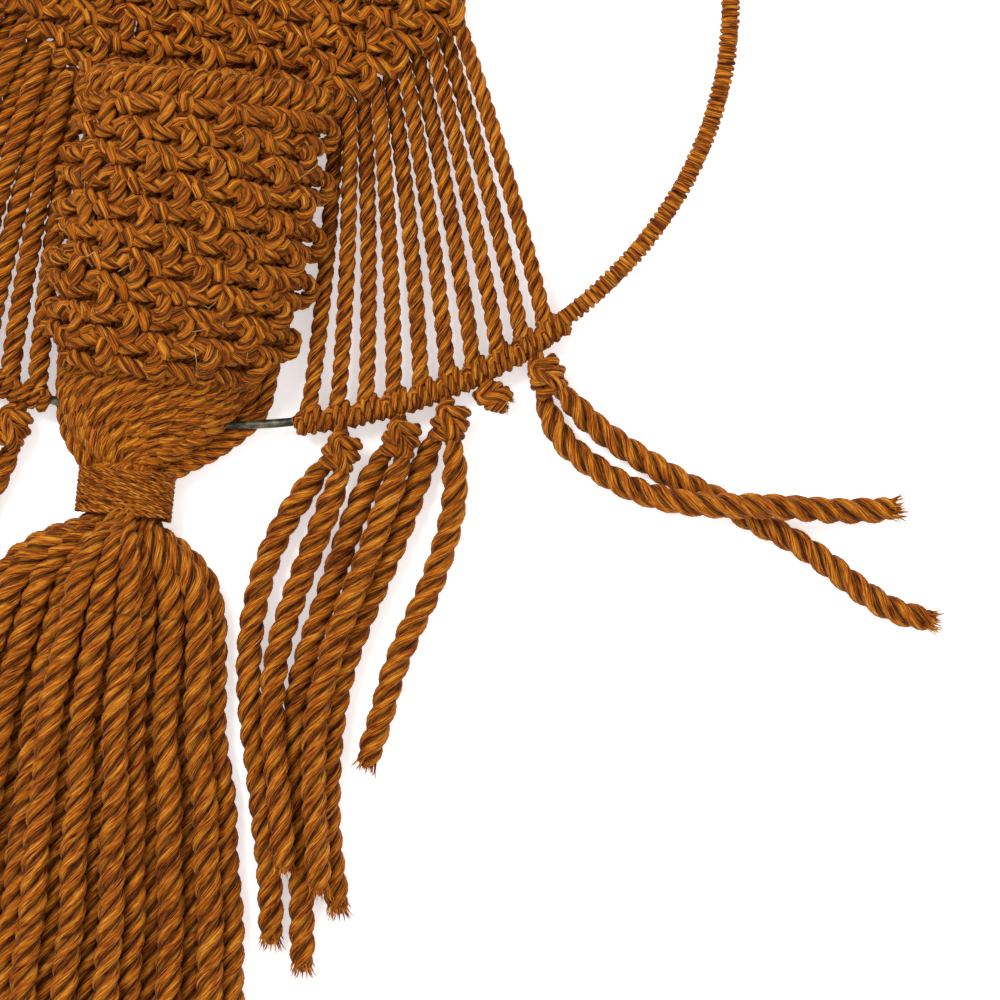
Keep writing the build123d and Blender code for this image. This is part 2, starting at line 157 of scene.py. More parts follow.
# %% The cord's material
def heather_cord(name, streak, tones, painted_groove_shade):
    """Plied heather yarn: streaks of several fibre colours along the ply, and painted shade in the grooves.
    """
    material, shader = new_material(name)
    link = material.node_tree.links.new
    uv = add_node(material, "ShaderNodeUVMap", uv_map="cord")
    fine = add_node(material, "ShaderNodeMapping", [(uv.outputs[0], 0), ((1 / streak, 0.11 / streak, 1), 3)])
    broad = add_node(material, "ShaderNodeMapping", [(uv.outputs[0], 0), ((0.42, 0.07, 1), 3)])
    streaks = add_node(material, "ShaderNodeTexNoise", [(fine.outputs[0], 0), (1.0, "Scale"), (3.0, "Detail"),
                                                        (0.62, "Roughness"), (0.4, "Distortion")])
    patches = add_node(material, "ShaderNodeTexNoise", 
                       [(broad.outputs[0], 0), (1.0, "Scale"), (2.0, "Detail")])
    mixed = add_node(material, "ShaderNodeMath", [(streaks.outputs[0], 0), (0.72, 1)], operation="MULTIPLY")
    both = add_node(material, "ShaderNodeMath", [(patches.outputs[0], 0), (0.28, 1), (mixed.outputs[0], 2)],
                    operation="MULTIPLY_ADD")
    ramp = add_node(material, "ShaderNodeValToRGB", [(both.outputs[0], 0)])
    elements = ramp.color_ramp.elements
    while len(elements) < len(tones):
        elements.new(0.5)
    for element, (position, tone) in zip(elements, tones):
        element.position, element.color = position, linear(tone)
    # Painted shade: the base colour is darkened towards the bottoms of the grooves between the plies, where
    # little light gets in.
    depth = add_node(material, "ShaderNodeAttribute", attribute_name="depth")
    shade = add_node(material, "ShaderNodeMapRange", [(depth.outputs["Fac"], 0), (0.0, 1), (0.75, 2),
                                                      (painted_groove_shade, 3), (1.0, 4)])
    darker = add_node(material, "ShaderNodeVectorMath", [(ramp.outputs[0], 0), (shade.outputs[0], 3)],
                      operation="SCALE")
    link(darker.outputs[0], shader.inputs["Base Color"])
    bump = add_node(material, "ShaderNodeBump",
                    [(0.9, "Strength"), (0.00035, "Distance"), (streaks.outputs[0], "Height")])
    link(bump.outputs[0], shader.inputs["Normal"])
    shader.inputs["Roughness"].default_value = 0.8
    shader.inputs["IOR"].default_value = 1.5
    shader.inputs["Specular IOR Level"].default_value = 0.12
    shader.inputs["Sheen Weight"].default_value = 0.03
    shader.inputs["Sheen Roughness"].default_value = 0.45
    return material


heather_tones = ((0.36, "#1c0700"), (0.43, "#5a2302"), (0.49, "#9a4c06"), (0.55, "#bd6c0e"),
                 (0.62, "#d89a36"), (0.70, "#6a2c03"))
cord_material = heather_cord("plied_heather_cord", 0.5, heather_tones, 0.16)
yarn_material = heather_cord("single_ply_yarn", 0.45, heather_tones, 0.3)

wire_material, wire_shader = new_material("tarnished_steel_wire")
wire_place = add_node(wire_material, "ShaderNodeTexCoord")
wire_noise = add_node(wire_material, "ShaderNodeTexNoise",
                      [(wire_place.outputs["Object"], 0), (220.0, "Scale"), (4.0, "Detail")])
wire_ramp = add_node(wire_material, "ShaderNodeValToRGB", [(wire_noise.outputs[0], 0)])
wire_ramp.color_ramp.elements[0].position, wire_ramp.color_ramp.elements[0].color = 0.38, linear("#3a362c")
wire_ramp.color_ramp.elements[1].position, wire_ramp.color_ramp.elements[1].color = 0.64, linear("#8a8472")
wire_material.node_tree.links.new(wire_ramp.outputs[0], wire_shader.inputs["Base Color"])
wire_shader.inputs["Metallic"].default_value = 0.85
wire_shader.inputs["Roughness"].default_value = 0.42

sheet_material, sheet_shader = new_material("white_paper_floor")
sheet_place = add_node(sheet_material, "ShaderNodeTexCoord")
sheet_noise = add_node(sheet_material, "ShaderNodeTexNoise",
                       [(sheet_place.outputs["Object"], 0), (900.0, "Scale")])
sheet_bump = add_node(sheet_material, "ShaderNodeBump", [(0.05, "Strength"), (0.0002, "Distance"),
                                                         (sheet_noise.outputs[0], "Height")])
sheet_material.node_tree.links.new(sheet_bump.outputs[0], sheet_shader.inputs["Normal"])
sheet_shader.inputs["Base Color"].default_value = (0.93, 0.93, 0.93, 1)
sheet_shader.inputs["Roughness"].default_value = 0.9
sheet_shader.inputs["Emission Color"].default_value = (1, 1, 1, 1)
sheet_shader.inputs["Emission Strength"].default_value = 0.45
floor.data.materials.append(sheet_material)
print("materials:", len(bpy.data.materials))

# %% [markdown]
# A three-ply cord seen end on is a trefoil. Sweeping that trefoil along a route while it turns gives the
# twisted plies, with far fewer faces than three separate tubes. The sweep carries its own upright from ring
# to ring, so it never flips in a tight bend.

# %% The trefoil section
lobe_points = 6  # round each ply
ring_size = 3 * lobe_points
ply_radius, ply_offset = 0.285, 0.215  # in diameters
around = np.arange(ring_size) * 2 * math.pi / ring_size
within = np.mod(around, 2 * math.pi / 3) - math.pi / 3
section = ply_offset * np.cos(within) + np.sqrt(ply_radius**2 - (ply_offset * np.sin(within)) ** 2)
section_depth = (section - section.min()) / (section.max() - section.min())
print("trefoil from", round(section.min(), 3), "to", round(section.max(), 3), "diameters")


# %% Routes
def lengths_along(points):
    """How far along the route each point is."""
    return np.concatenate(([0], np.cumsum(np.linalg.norm(np.diff(points, axis=0), axis=1))))


def evenly(points, step):
    """The same line with points an even step apart."""
    along = lengths_along(points)
    marks = np.linspace(0, along[-1], max(3, int(round(along[-1] / step)) + 1))
    return np.stack([np.interp(marks, along, points[:, axis]) for axis in range(3)], axis=1)


def smooth_route(points, step=1.3):
    """Points read from a NURBS spline that has these control points."""
    curve = bpy.data.curves.new("route", "CURVE")
    curve.dimensions, curve.resolution_u = "3D", 16
    spline = curve.splines.new("NURBS")
    spline.points.add(len(points) - 1)
    weighted = np.append(np.array(points, float), np.ones((len(points), 1)), axis=1)
    spline.points.foreach_set("co", weighted.ravel())
    spline.order_u, spline.use_endpoint_u = 3, True
    holder = bpy.data.objects.new("route", curve)
    mesh = bpy.data.meshes.new_from_object(holder)
    line = np.zeros(len(mesh.vertices) * 3)
    mesh.vertices.foreach_get("co", line)
    for block, store in ((mesh, bpy.data.meshes), (holder, bpy.data.objects), (curve, bpy.data.curves)):
        store.remove(block)
    return evenly(line.reshape(-1, 3), step)


def through(points, step=1.15):
    """A smooth line that passes through every point, for cord held tight in a knot."""
    points = np.array(points, float)
    ends = np.vstack((2 * points[0] - points[1], points, 2 * points[-1] - points[-2]))
    part = np.linspace(0, 1, 8, endpoint=False)[:, None]
    runs = []
    for a, b, c, d in zip(ends, ends[1:], ends[2:], ends[3:]):
        runs.append(0.5 * (2 * b + (c - a) * part + (2 * a - 5 * b + 4 * c - d) * part**2
                           + (3 * b - a - 3 * c + d) * part**3))
    return evenly(np.vstack(runs + [points[-1:]]), step)


# %% Sweeping the trefoil
chance = np.random.default_rng(7)


def upright_frames(points):
    """For each point a side and an upright, both square to the line, carried along without turning."""
    ways = np.gradient(points, axis=0)
    ways /= np.linalg.norm(ways, axis=1)[:, None]
    side = np.cross(ways[0], (0, 0, 1)) if abs(ways[0][2]) < 0.9 else np.cross(ways[0], (1, 0, 0))
    sides = np.zeros_like(points)
    for number, way in enumerate(ways):
        side = side - way * np.dot(side, way)
        side /= np.linalg.norm(side)
        sides[number] = side
    return sides, np.cross(ways, sides), ways


def twisted(points, diameter, lay, split=None, blunt=0.35):
    """One cord: its vertices, faces, UVs in millimetres and groove depths. lay is the length of one turn.

    With split, the cord is cut at that ring, and the two parts are returned."""
    sides, ups, ways = upright_frames(points)
    along = lengths_along(points)
    count = len(points)
    diameters = np.broadcast_to(diameter, (count,)).astype(float)
    turns = np.concatenate(([0], np.diff(along) / (lay * diameters[1:] / max(diameters))))
    turn = chance.uniform(0, 2 * math.pi) + np.cumsum(turns) * 2 * math.pi
    angles = around[None, :] + turn[:, None]
    reach = section[None, :] * diameters[:, None]
    spots = (points[:, None, :] + reach[..., None] * (np.cos(angles)[..., None] * sides[:, None, :]
                                                      + np.sin(angles)[..., None] * ups[:, None, :]))
    ring = np.arange(ring_size)
    after = (ring + 1) % ring_size
    width = 3.4 * diameters.max() / ring_size
    shift_u, shift_v = chance.uniform(0, 400, 2)
    parts = []
    for first, last in (((0, count - 1),) if split is None else ((0, split), (split, count - 1))):
        tips = np.stack((points[first] - ways[first] * diameters[first] * (0.14 if first == 0 else 0),
                         points[last] + ways[last] * diameters[last] * (blunt if last == count - 1 else 0)))
        vertices = np.vstack((spots[first:last + 1].reshape(-1, 3), tips))
        base = (np.arange(last - first) * ring_size)[:, None]
        corners = (base + ring, base + after, base + after + ring_size, base + ring + ring_size)
        quads = np.stack(corners, axis=2)
        start_tip, end_tip = len(vertices) - 2, len(vertices) - 1
        start_fan = np.stack((after, ring, np.full(ring_size, start_tip)), axis=1)
        end_ring = (last - first) * ring_size
        end_fan = np.stack((end_ring + ring, end_ring + after, np.full(ring_size, end_tip)), axis=1)
        far = along[first:last + 1]
        u0, u1 = (ring[None, :] * width + place[:, None] * 0.12 + shift_u for place in (far[:-1], far[1:]))
        v0, v1 = (place[:, None] + shift_v + 0 * u0 for place in (far[:-1], far[1:]))
        quad_uv = np.stack((u0, v0, u0 + width, v0, u1 + width, v1, u1, v1), axis=2).reshape(-1, 2)
        fan_u, flat, end_v = ring * width + shift_u, 0 * ring, far[-1] + shift_v
        start_uv = np.stack((fan_u + width, flat, fan_u, flat, fan_u, flat - 2), axis=1).reshape(-1, 2)
        end_uv = np.stack((fan_u, flat + end_v, fan_u + width, flat + end_v, fan_u, flat + end_v + 2), axis=1)
        depth = np.concatenate((np.tile(section_depth, last - first + 1), [0.3, 0.6]))
        parts.append((vertices, quads.reshape(-1, 4), np.vstack((start_fan, end_fan)), quad_uv,
                      np.vstack((start_uv, end_uv.reshape(-1, 2))), depth))
    return parts[0] if split is None else parts


def cord_piece(name, cords, material, body, replaced=()):
    """Joins swept cords into one object in metres that rides on a body."""
    vertices, quads, fans, quad_uvs, fan_uvs, depths, base = [], [], [], [], [], [], 0
    for v, q, f, quad_uv, fan_uv, depth in cords:
        vertices.append(v)
        quads.append(q + base)
        fans.append(f + base)
        quad_uvs.append(quad_uv)
        fan_uvs.append(fan_uv)
        depths.append(depth)
        base += len(v)
    vertices, quads, fans = np.vstack(vertices), np.vstack(quads), np.vstack(fans)
    mesh = bpy.data.meshes.new(name)
    mesh.vertices.add(len(vertices))
    mesh.vertices.foreach_set("co", (vertices * mm).ravel())
    mesh.loops.add(quads.size + fans.size)
    mesh.loops.foreach_set("vertex_index", np.concatenate((quads.ravel(), fans.ravel())).astype(np.int32))
    mesh.polygons.add(len(quads) + len(fans))
    starts = np.concatenate((np.arange(len(quads)) * 4, quads.size + np.arange(len(fans)) * 3))
    mesh.polygons.foreach_set("loop_start", starts.astype(np.int32))
    mesh.update(calc_edges=True)
    mesh.polygons.foreach_set("use_smooth", np.ones(len(starts), bool))
    mesh.uv_layers.new(name="cord").data.foreach_set("uv", np.vstack(quad_uvs + fan_uvs).ravel())
    mesh.attributes.new("depth", "FLOAT", "POINT").data.foreach_set("value", np.concatenate(depths))
    mesh.validate()
    mesh.materials.append(material)
    piece = bpy.data.objects.new(name, mesh)
    bpy.context.scene.collection.objects.link(piece)
    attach(piece, body)
    if replaced:
        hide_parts(*replaced)
    return piece


# %% [markdown]
# Many pieces sit on the hoop, so they all take their places from its line. A place is given by an angle, and
# 90 degrees is the top.

# %% The hoop's line
def hoop_point(angle):
    """The wire's middle at an angle of its ellipse, in degrees."""
    turn = math.radians(angle)
    return at(hoop_half_width * math.cos(turn), hoop_half_height * math.sin(turn), wire_lift)


def hoop_outward(angle):
    """The level way out of the hoop."""
    turn = math.radians(angle)
    way = np.array((math.cos(turn) / hoop_half_width, math.sin(turn) / hoop_half_height, 0))
    return way / np.linalg.norm(way)


print("hoop top", hoop_point(90))

# %% [markdown]
# The loose tails come first, because their routes are fixed. A tail is the same cord as in the knots, but
# with nothing pulling on it: it swells to 8.5 mm and its plies turn about once in 22 mm. Each pair leaves its
# overhand knot side by side, one on the other, and then sinks to the table. A tail is one object.

# %% Tails: where the knots are
wire_dia, hitch_thick, tail_swing_gap, belly_out, exit_out = 2.8, 3.1, 1.3, 5.0, 8.0
lying = tail_dia / 2 + 0.15
pair_gap = tail_dia + 0.2


def tail_pair(hitch_angle, exit_angle, high_side):
    """One knot's ways and places: out of the hoop, along its tails, from the low tail to the high one."""
    outward = hoop_outward(hitch_angle)
    onward = np.array((math.cos(math.radians(exit_angle)), math.sin(math.radians(exit_angle)), 0))
    rise = np.array((-onward[1] * high_side, onward[0] * high_side, 1)) / math.sqrt(2)
    root = hoop_point(hitch_angle) + outward * (wire_dia / 2 + hitch_thick + tail_swing_gap)
    belly = root + outward * belly_out
    mouth = belly + onward * exit_out
    mouth[2] = lying + rise[2] * pair_gap / 2
    return outward, onward, rise, root, belly, mouth


# Each knot: its place on the hoop, the way its tails leave, the side of the high tail, and both routes,
# counted from the knot's place on the wire. The third number is the lift off the table.
tails = {
    "right_1": (-70.7, -112, 1, (
        (-9.5, -27.5, 0), (-16, -42.5, 0), (-19.5, -59.5, 0), (-20, -77.5, 0), (-17.5, -95.5, 0),
        (-13, -113.5, 0), (-9, -132.5, 0), (-5, -150.5, 0), (-3.5, -165.5, 0),
    ), (
        (0, -30.5, 4), (-4, -44.5, 1), (-8, -59.5, 0), (-11, -75.5, 1), (-11, -91.5, 5),
        (-8, -108.5, 7), (-4.5, -125.5, 7.3), (-1.5, -142.5, 7),
    )),
    "right_2": (-64.2, -108, 1, (
        (-6, -28, 0), (-10.5, -45, 0), (-14, -62, 0), (-18.5, -80, 0), (-21, -98, 0), (-19.5, -117, 0),
        (-15, -137, 0), (-12.5, -157, 0), (-10, -179, 0),
    ), (
        (1.5, -30, 6), (-2, -46, 6.2), (-7, -63, 6.6), (-11.5, -81, 6.8), (-14, -99, 7), (-13, -118, 7.2),
        (-10, -137, 7.5), (-7, -154, 7.4),
    )),
    "right_3": (-58.7, -104, 1, (
        (-3.5, -28.5, 0), (-7.2, -44.5, 0), (-12, -60, 0), (-17, -75.5, 0), (-21, -91.5, 0),
        (-22.5, -108.5, 0), (-22, -126.5, 0), (-19.8, -145.5, 0), (-14.5, -166, 0),
    ), (
        (8.5, -29.5, 3), (8, -43.5, 0), (4, -62.5, 0), (-1.5, -77.5, 0), (-5.5, -91.5, 0),
        (-7.4, -105.5, 0), (-10.5, -119.5, 0),
    )),
    "right_5": (-47.2, -68, 1, (
        (11.5, -27.5, 0), (22, -35, 0), (35, -41.5, 0.5), (49, -44.5, 6), (63, -44.5, 9),
        (78, -43, 9.2), (92, -42.5, 5), (106, -42, 0), (120, -39.5, 0),
    ), (
        (19.5, -21, 2), (30, -27.5, 0), (42, -33.5, 0), (54, -39, 0), (66, -43, 0), (77, -48.3, 0),
        (88, -52, 0), (100, -58.3, 0), (113, -67, 0), (125, -72.5, 0), (135, -73, 0),
    )),
    "left_1": (-105.5, -112, -1, (
        (-7, -30.5, 0), (-13, -45.5, 0), (-18.5, -62.5, 0), (-22.5, -80.5, 0), (-24.5, -99.5, 0),
        (-29, -118.5, 0), (-29.5, -137.5, 0), (-29, -156.5, 0), (-30.5, -173.5, 0),
    ), (
        (-15, -27, 4), (-22.5, -40.5, 0), (-29.5, -55.5, 0), (-34, -72.5, 0), (-35.5, -90.5, 0),
        (-39.5, -108.5, 0), (-40.2, -126.5, 0), (-38.1, -144.5, 0), (-39.3, -161.5, 0),
    )),
    "left_2": (-111.5, -114, -1, (
        (-9.3, -30, 0), (-17.8, -44, 0), (-25, -59, 0), (-28.7, -76, 0), (-30.6, -94, 0), (-34, -112, 0),
        (-34, -130, 0), (-31.5, -148, 0), (-33.5, -164, 0),
    ), (
        (-17.4, -26, 3.5), (-26.5, -38, 0), (-35, -52, 0), (-40, -68, 0), (-41.5, -85, 0), (-45, -102, 0),
        (-47, -119, 0), (-44.5, -136, 0), (-46, -152, 0),
    )),
    "left_3": (-117.0, -118, -1, (
        (-12.4, -27.5, 0), (-24.1, -39, 0), (-33.6, -52, 0), (-38.6, -67.5, 0), (-40.6, -84.5, 0),
        (-43.6, -101.5, 0), (-44.6, -118.5, 0), (-42.6, -135.5, 0), (-44.6, -151.5, 0),
    ), (
        (-19.6, -22.9, 3), (-33.9, -32.3, 0), (-44.6, -44.5, 0), (-50.1, -59.5, 0), (-51.6, -76.5, 0),
        (-53.4, -93.5, 0), (-54.1, -110.5, 0), (-52.4, -127.5, 0), (-53.6, -142.5, 0),
    )),
    "left_4": (-122.0, -127, -1, (
        (-18.6, -24.6, 0), (-31.9, -32.3, 0), (-42.1, -42.5, 0), (-47.1, -57, 0), (-49.1, -74, 0),
        (-52.1, -91, 0), (-53.6, -108, 0), (-53.4, -125, 0), (-54.4, -140, 0),
    ), (
        (-24.8, -18.8, 3.5), (-39.6, -22.9, 0), (-51.1, -31.5, 0), (-58.1, -44.5, 0), (-59.6, -60, 0),
        (-62.6, -76.5, 0), (-64.6, -93, 0), (-63.6, -109, 0), (-65.1, -125, 0),
    )),
    "left_5": (-128.5, -138, -1, (
        (-22.6, -20.4, 0), (-36.5, -25, 0), (-48.2, -33, 0), (-54.2, -45.5, 0), (-56.2, -61.5, 0),
        (-59.2, -77.5, 0), (-60.7, -93.5, 0), (-59.2, -109.5, 0), (-60.7, -124.5, 0),
    ), (
        (-27.9, -10, 3.2), (-44.3, -12, 0), (-56.7, -17.5, 0), (-64.2, -28.5, 0), (-67.2, -43.5, 0),
        (-68.7, -59.5, 0), (-70.7, -75.5, 0), (-71.7, -90.5, 0), (-70.2, -105.5, 0), (-71.7, -119.5, 0),
    )),
}
tail_body = {"right_1": "tails_right_inner", "right_2": "tails_right_inner", "right_3": "tails_right_inner"}


# %% Tails: lay them
def tuft(place, way, dia, count, length, spread, seed):
    """Loose fibres at a cut end: thin three-sided spikes that fan out."""
    dice = np.random.default_rng(seed)
    side = np.cross(way, (0, 0, 1.0))
    side /= np.linalg.norm(side)
    up = np.cross(side, way)
    fibres = []
    for number in range(count):
        turn, reach = dice.uniform(0, 2 * math.pi), dia * 0.42 * math.sqrt(dice.uniform())
        out = side * math.cos(turn) + up * math.sin(turn)
        start = place + out * reach - way * 2
        bend = way + out * spread * dice.uniform(0.2, 1) + np.array((0, 0, -0.25))
        long = length * dice.uniform(0.5, 1.15)
        tip = start + bend / np.linalg.norm(bend) * long
        middle = (start + tip) / 2 + way * long * 0.12 + dice.uniform(-0.5, 0.5, 3)
        tip[2], middle[2] = max(tip[2], 0.4), max(middle[2], 0.4)
        fibres.append((start, middle, tip, dice.uniform(0.28, 0.75)))
    return fibres


def spikes(name, fibres, body, material):
    """All the fibres of one body's cut ends, as one object."""
    vertices, faces, uvs = [], [], []
    for start, middle, tip, thick in fibres:
        way = tip - start
        side = np.cross(way, (0.3, 0.2, 1.0))
        side /= np.linalg.norm(side) + 1e-9
        up = np.cross(way / np.linalg.norm(way), side)
        base = len(vertices)
        for spot, wide in ((start, thick), (middle, thick * 0.8)):
            for turn in (0, 2.094, 4.189):  # a third of a turn apart
                vertices.append(spot + (side * math.cos(turn) + up * math.sin(turn)) * wide / 2)
        vertices.append(tip)
        for a, b in ((0, 1), (1, 2), (2, 0)):
            faces.append((base + a, base + b, base + b + 3, base + a + 3))
            faces.append((base + a + 3, base + b + 3, base + 6))
            shift = float(len(faces)) * 0.37
            uvs += [(shift, 0), (shift + 0.4, 0), (shift + 0.4, 3), (shift, 3)]
            uvs += [(shift, 3), (shift + 0.4, 3), (shift + 0.2, 6)]
    mesh = bpy.data.meshes.new(name)
    mesh.from_pydata([tuple(v * mm) for v in vertices], [], faces)
    mesh.uv_layers.new(name="cord").data.foreach_set("uv", np.array(uvs, float).ravel())
    mesh.attributes.new("depth", "FLOAT", "POINT").data.foreach_set("value", np.full(len(vertices), 0.8))
    mesh.materials.append(material)
    piece = bpy.data.objects.new(name, mesh)
    bpy.context.scene.collection.objects.link(piece)
    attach(piece, body)
    return piece


fibres_of, held_parts = {}, {}
tail_lay = 22.0
for name, (hitch_angle, exit_angle, high_side, low_route, high_route) in tails.items():
    outward, onward, rise, root, belly, mouth = tail_pair(hitch_angle, exit_angle, high_side)
    body = tail_body.get(name, f"tails_{name}")
    place = hoop_point(hitch_angle)
    for height, letter, route in ((-1, "a", low_route), (1, "b", high_route)):
        first = mouth + rise * height * pair_gap / 2 - onward
        points = [first] + [place + np.array((x, y, lying - wire_lift + lift)) for x, y, lift in route]
        line = smooth_route(points)
        within_knot = belly + onward * 3.0 + rise * height * 1.6
        inside = evenly(np.array([belly - outward * 1.0, within_knot, first]), 1.3)
        whole = np.vstack((inside[:-1], line))
        along = lengths_along(whole)
        knot_end = along[len(inside) - 1]
        swell = np.clip((along - knot_end * 0.35) / 16.0, 0, 1)
        dias = 4.6 + (tail_dia - 4.6) * swell * swell * (3 - 2 * swell)
        dias[-4:] *= (0.97, 0.92, 0.84, 0.72)
        held, loose = twisted(whole, dias, tail_lay, len(inside) - 1)
        held_parts.setdefault(body, []).append(held)
        piece = cord_piece(f"loose_tail_{name}{letter}", [loose], cord_material, body,
                           (f"tail_{name}{letter}",))
        way = line[-1] - line[-3]
        fibres_of.setdefault(body, []).extend(tuft(line[-1], way / np.linalg.norm(way), tail_dia * 0.8,
                                                   46, 6.5, 0.55, len(fibres_of) * 31 + height))
print("tails:", 2 * len(tails))

# %% [markdown]
# The tassel is the pocket's own cords after the gather. They leave the wound neck as one bundle, swell as
# they spread, and lie in two layers with a few more on top. The bundle just under the neck is a packed mass
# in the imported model, so each cord starts there inside that mass and its free length begins where it ends.

# %% The tassel
gather_x, gather_top, gather_bottom = -9.0, -152.0, -168.0
head_bottom = gather_bottom - 0.4 - 30.0
tassel_fan = (
    (-198.0, -47.0, 22.6), (-215.0, -52.0, 24.0), (-233.0, -55.0, 26.5), (-252.0, -57.5, 31.0),
    (-271.0, -59.5, 34.5), (-291.0, -61.0, 37.5), (-311.0, -62.5, 40.0), (-330.0, -63.5, 42.0),
)
# Each cord: its place across, counted from the left, its layer, and where it ends.
tassel_cords = (
    (0, 0, -322), (1, 0, -331), (2, 0, -338), (3, 0, -329), (4, 0, -340), (5, 0, -334), (6, 0, -342),
    (7, 0, -333), (8, 0, -326),
    (0.5, 1, -333), (1.5, 1, -325), (2.5, 1, -337), (3.5, 1, -341), (4.5, 1, -332), (5.5, 1, -336),
    (6.5, 1, -328), (7.5, 1, -331),
    (3, 2, -330), (4, 2, -339), (5, 2, -327),
)
# How far the whole tassel sways at each level, so that no cord runs straight.
tassel_sway = (0, 0.5, -0.7, 0.6, -0.8, 0.7, -0.6, 0.4)
tassel_tops = []
for number, (place, layer, end_y) in enumerate(tassel_cords, 1):
    points = []
    for (y, left, right), sway in zip(tassel_fan, tassel_sway):
        spacing = (right - left) / 8
        rise = math.sqrt(pair_gap**2 - (min(spacing, 1.2 * pair_gap) / 2) ** 2)
        if y == tassel_fan[-1][0]:
            y = end_y
        points.append(at(left + spacing * place + sway, y, lying + rise * layer))
    points[0] = np.array((points[0][0], at(0, head_bottom + 1, 0)[1], points[0][2]))
    line = smooth_route(points)
    across = (place - 4) / 4.6
    neck_height = 10 + (layer - 0.85) * 4.6 + 1.5 * (1 - across * across)
    neck = (gather_x + across * 9.5, gather_bottom + 4, neck_height)
    start = line[0]
    lead = [at(*neck)]
    for y, share in ((gather_bottom - 2, 0.1), (gather_bottom - 9, 0.5), (gather_bottom - 18, 0.84)):
        crown = 5.0 * math.sin(math.pi * share) * (1 - 0.5 * across * across)
        lead.append(at(neck[0] + (start[0] - neck[0]) * share, y,
                       neck[2] + (start[2] - neck[2]) * share + crown))
    head = through(lead + [start], 1.3)
    whole = np.vstack((head[:-1], line))
    along = lengths_along(whole)
    swell = np.clip(along / 30.0, 0, 1)
    dias = 5.0 + (tail_dia + 0.35 - 5.0) * swell * swell * (3 - 2 * swell)
    dias[-4:] *= (0.97, 0.92, 0.84, 0.72)
    held, loose = twisted(whole, dias, tail_lay, len(head) - 1)
    tassel_tops.append(held)
    piece = cord_piece(f"tassel_strand_{number:02}", [loose], cord_material, "tassel",
                       (f"tassel_cord_{number:02}",))
    way = line[-1] - line[-3]
    fibres_of.setdefault("tassel", []).extend(tuft(line[-1], way / np.linalg.norm(way), tail_dia * 0.8,
                                                   46, 6.5, 0.55, 900 + number))
cord_piece("tassel_top", tassel_tops, cord_material, "tassel", ("tassel_head",))
print("tassel cords:", len(tassel_cords))

for body, fibres in fibres_of.items():
    spikes(f"frayed_ends_{body}", fibres, body, cord_material)

# %% [markdown]
# A square knot has two filler cords that run straight down and two working cords tied round them, twice.
# One working cord lies across the front, turns at the side and comes back as a second bar. The other passes
# behind, comes up at the opposite side over the first one, and goes behind again. Row by row the fillers and
# the working cords change places, so each cord is one long line through the whole panel.

# %% The path of each cord through one square knot, in cord radii
bar_cord = ((2.9, 1.9, 0.2), (1.5, 1.75, 1.75), (-1.1, 1.15, 2.05), (-2.8, 0.75, 0.9), (-2.9, -0.65, 0.6),
            (-1.1, -1.1, 2.05), (1.5, -1.65, 1.75), (2.9, -1.9, 0.2))
bump_cord = ((-2.9, 1.9, 0.8), (-2.45, 1.3, 2.7), (-1.5, 0.4, 0.2), (0.0, 0.6, -2.0), (2.0, 0.8, -0.6),
             (2.75, 1.25, 2.2), (3.15, 0.0, 3.0), (2.75, -1.3, 2.2), (2.0, -0.9, -0.6), (0.0, -0.8, -2.0),
             (-1.7, -0.6, 0.1), (-2.5, -1.3, 2.5), (-2.9, -1.95, 0.7))
left_filler = ((-0.95, 1.6, 0.0), (-1.0, 0.0, -0.1), (-0.95, -1.6, 0.0))
right_filler = ((0.95, 1.6, 0.0), (1.0, 0.0, -0.1), (0.95, -1.6, 0.0))
roles = (bump_cord, left_filler, right_filler, bar_cord)


def knotted_net(lines, rows, place_of, radius, seed):
    """Runs each cord through rows of knots. A row is its first cord, its last, and the cords that pass by."""
    dice = np.random.default_rng(seed)
    for row, (first, last, first_by, last_by) in enumerate(rows):
        for group in range(first, last - 3, 4):
            lean, grow, shift = dice.normal(0, 0.07), dice.normal(1.0, 0.045), dice.normal(0, 0.3, 3)
            for role in range(4):
                jitter = dice.normal(0, 0.14, (len(roles[role]), 3))
                points = np.array(roles[role]) * radius * grow + jitter + shift
                for dx, dy, dz in points:
                    lines[group + role].append(place_of(group + 1.5, row, dx - dy * lean, dy + dx * lean, dz))
        for cord in list(range(first_by, first)) + list(range(last, last_by)):
            lines[cord].append(place_of(cord, row, dice.normal(0, 0.3), 0, dice.normal(0, 0.3)))


# %% [markdown]
# The panel is tied from eighteen lark's heads, so from thirty-six cords. Its rows follow the hoop's curve at
# the top and become level lower down. Then each row is half a knot shorter at both ends, and the cords that
# drop out run straight to the hoop. The middle cords go on behind the pocket as a flatter layer.

# %% The panel's cords
panel_x, knot_pitch, row_pitch = 4.5, 16.9, 8.0
panel_cords, level_rows, short_rows, back_rows = 36, 16, 4, 9
last_full_y = 0.5
knot_radius = 2.3


def panel_row_y(row, x):
    """The middle of a row of knots. Row 0 is the top one."""
    level = last_full_y + row_pitch * (level_rows - 1 - row)
    top = 131.3 * math.sqrt(max(0.0, 1 - (x / 158.8) ** 2))
    return level - (131.3 - top) * max(0.0, 1 - row / level_rows)


def panel_place(cord, row, dx, dy, dz):
    """A place in the panel, from a cord's number and its place in a knot."""
    x = panel_x + (cord - (panel_cords - 1) / 2) * knot_pitch / 4
    y = panel_row_y(row, x) + dy
    if row < level_rows + short_rows:
        return at(x + dx, y, 6.8 + dz * 0.97)
    narrower = 1 - 0.012 * (row - level_rows - short_rows)
    return at(2.5 + (x - 2.5) * narrower + dx, y, 5.0 + dz * 0.66 - 0.3)


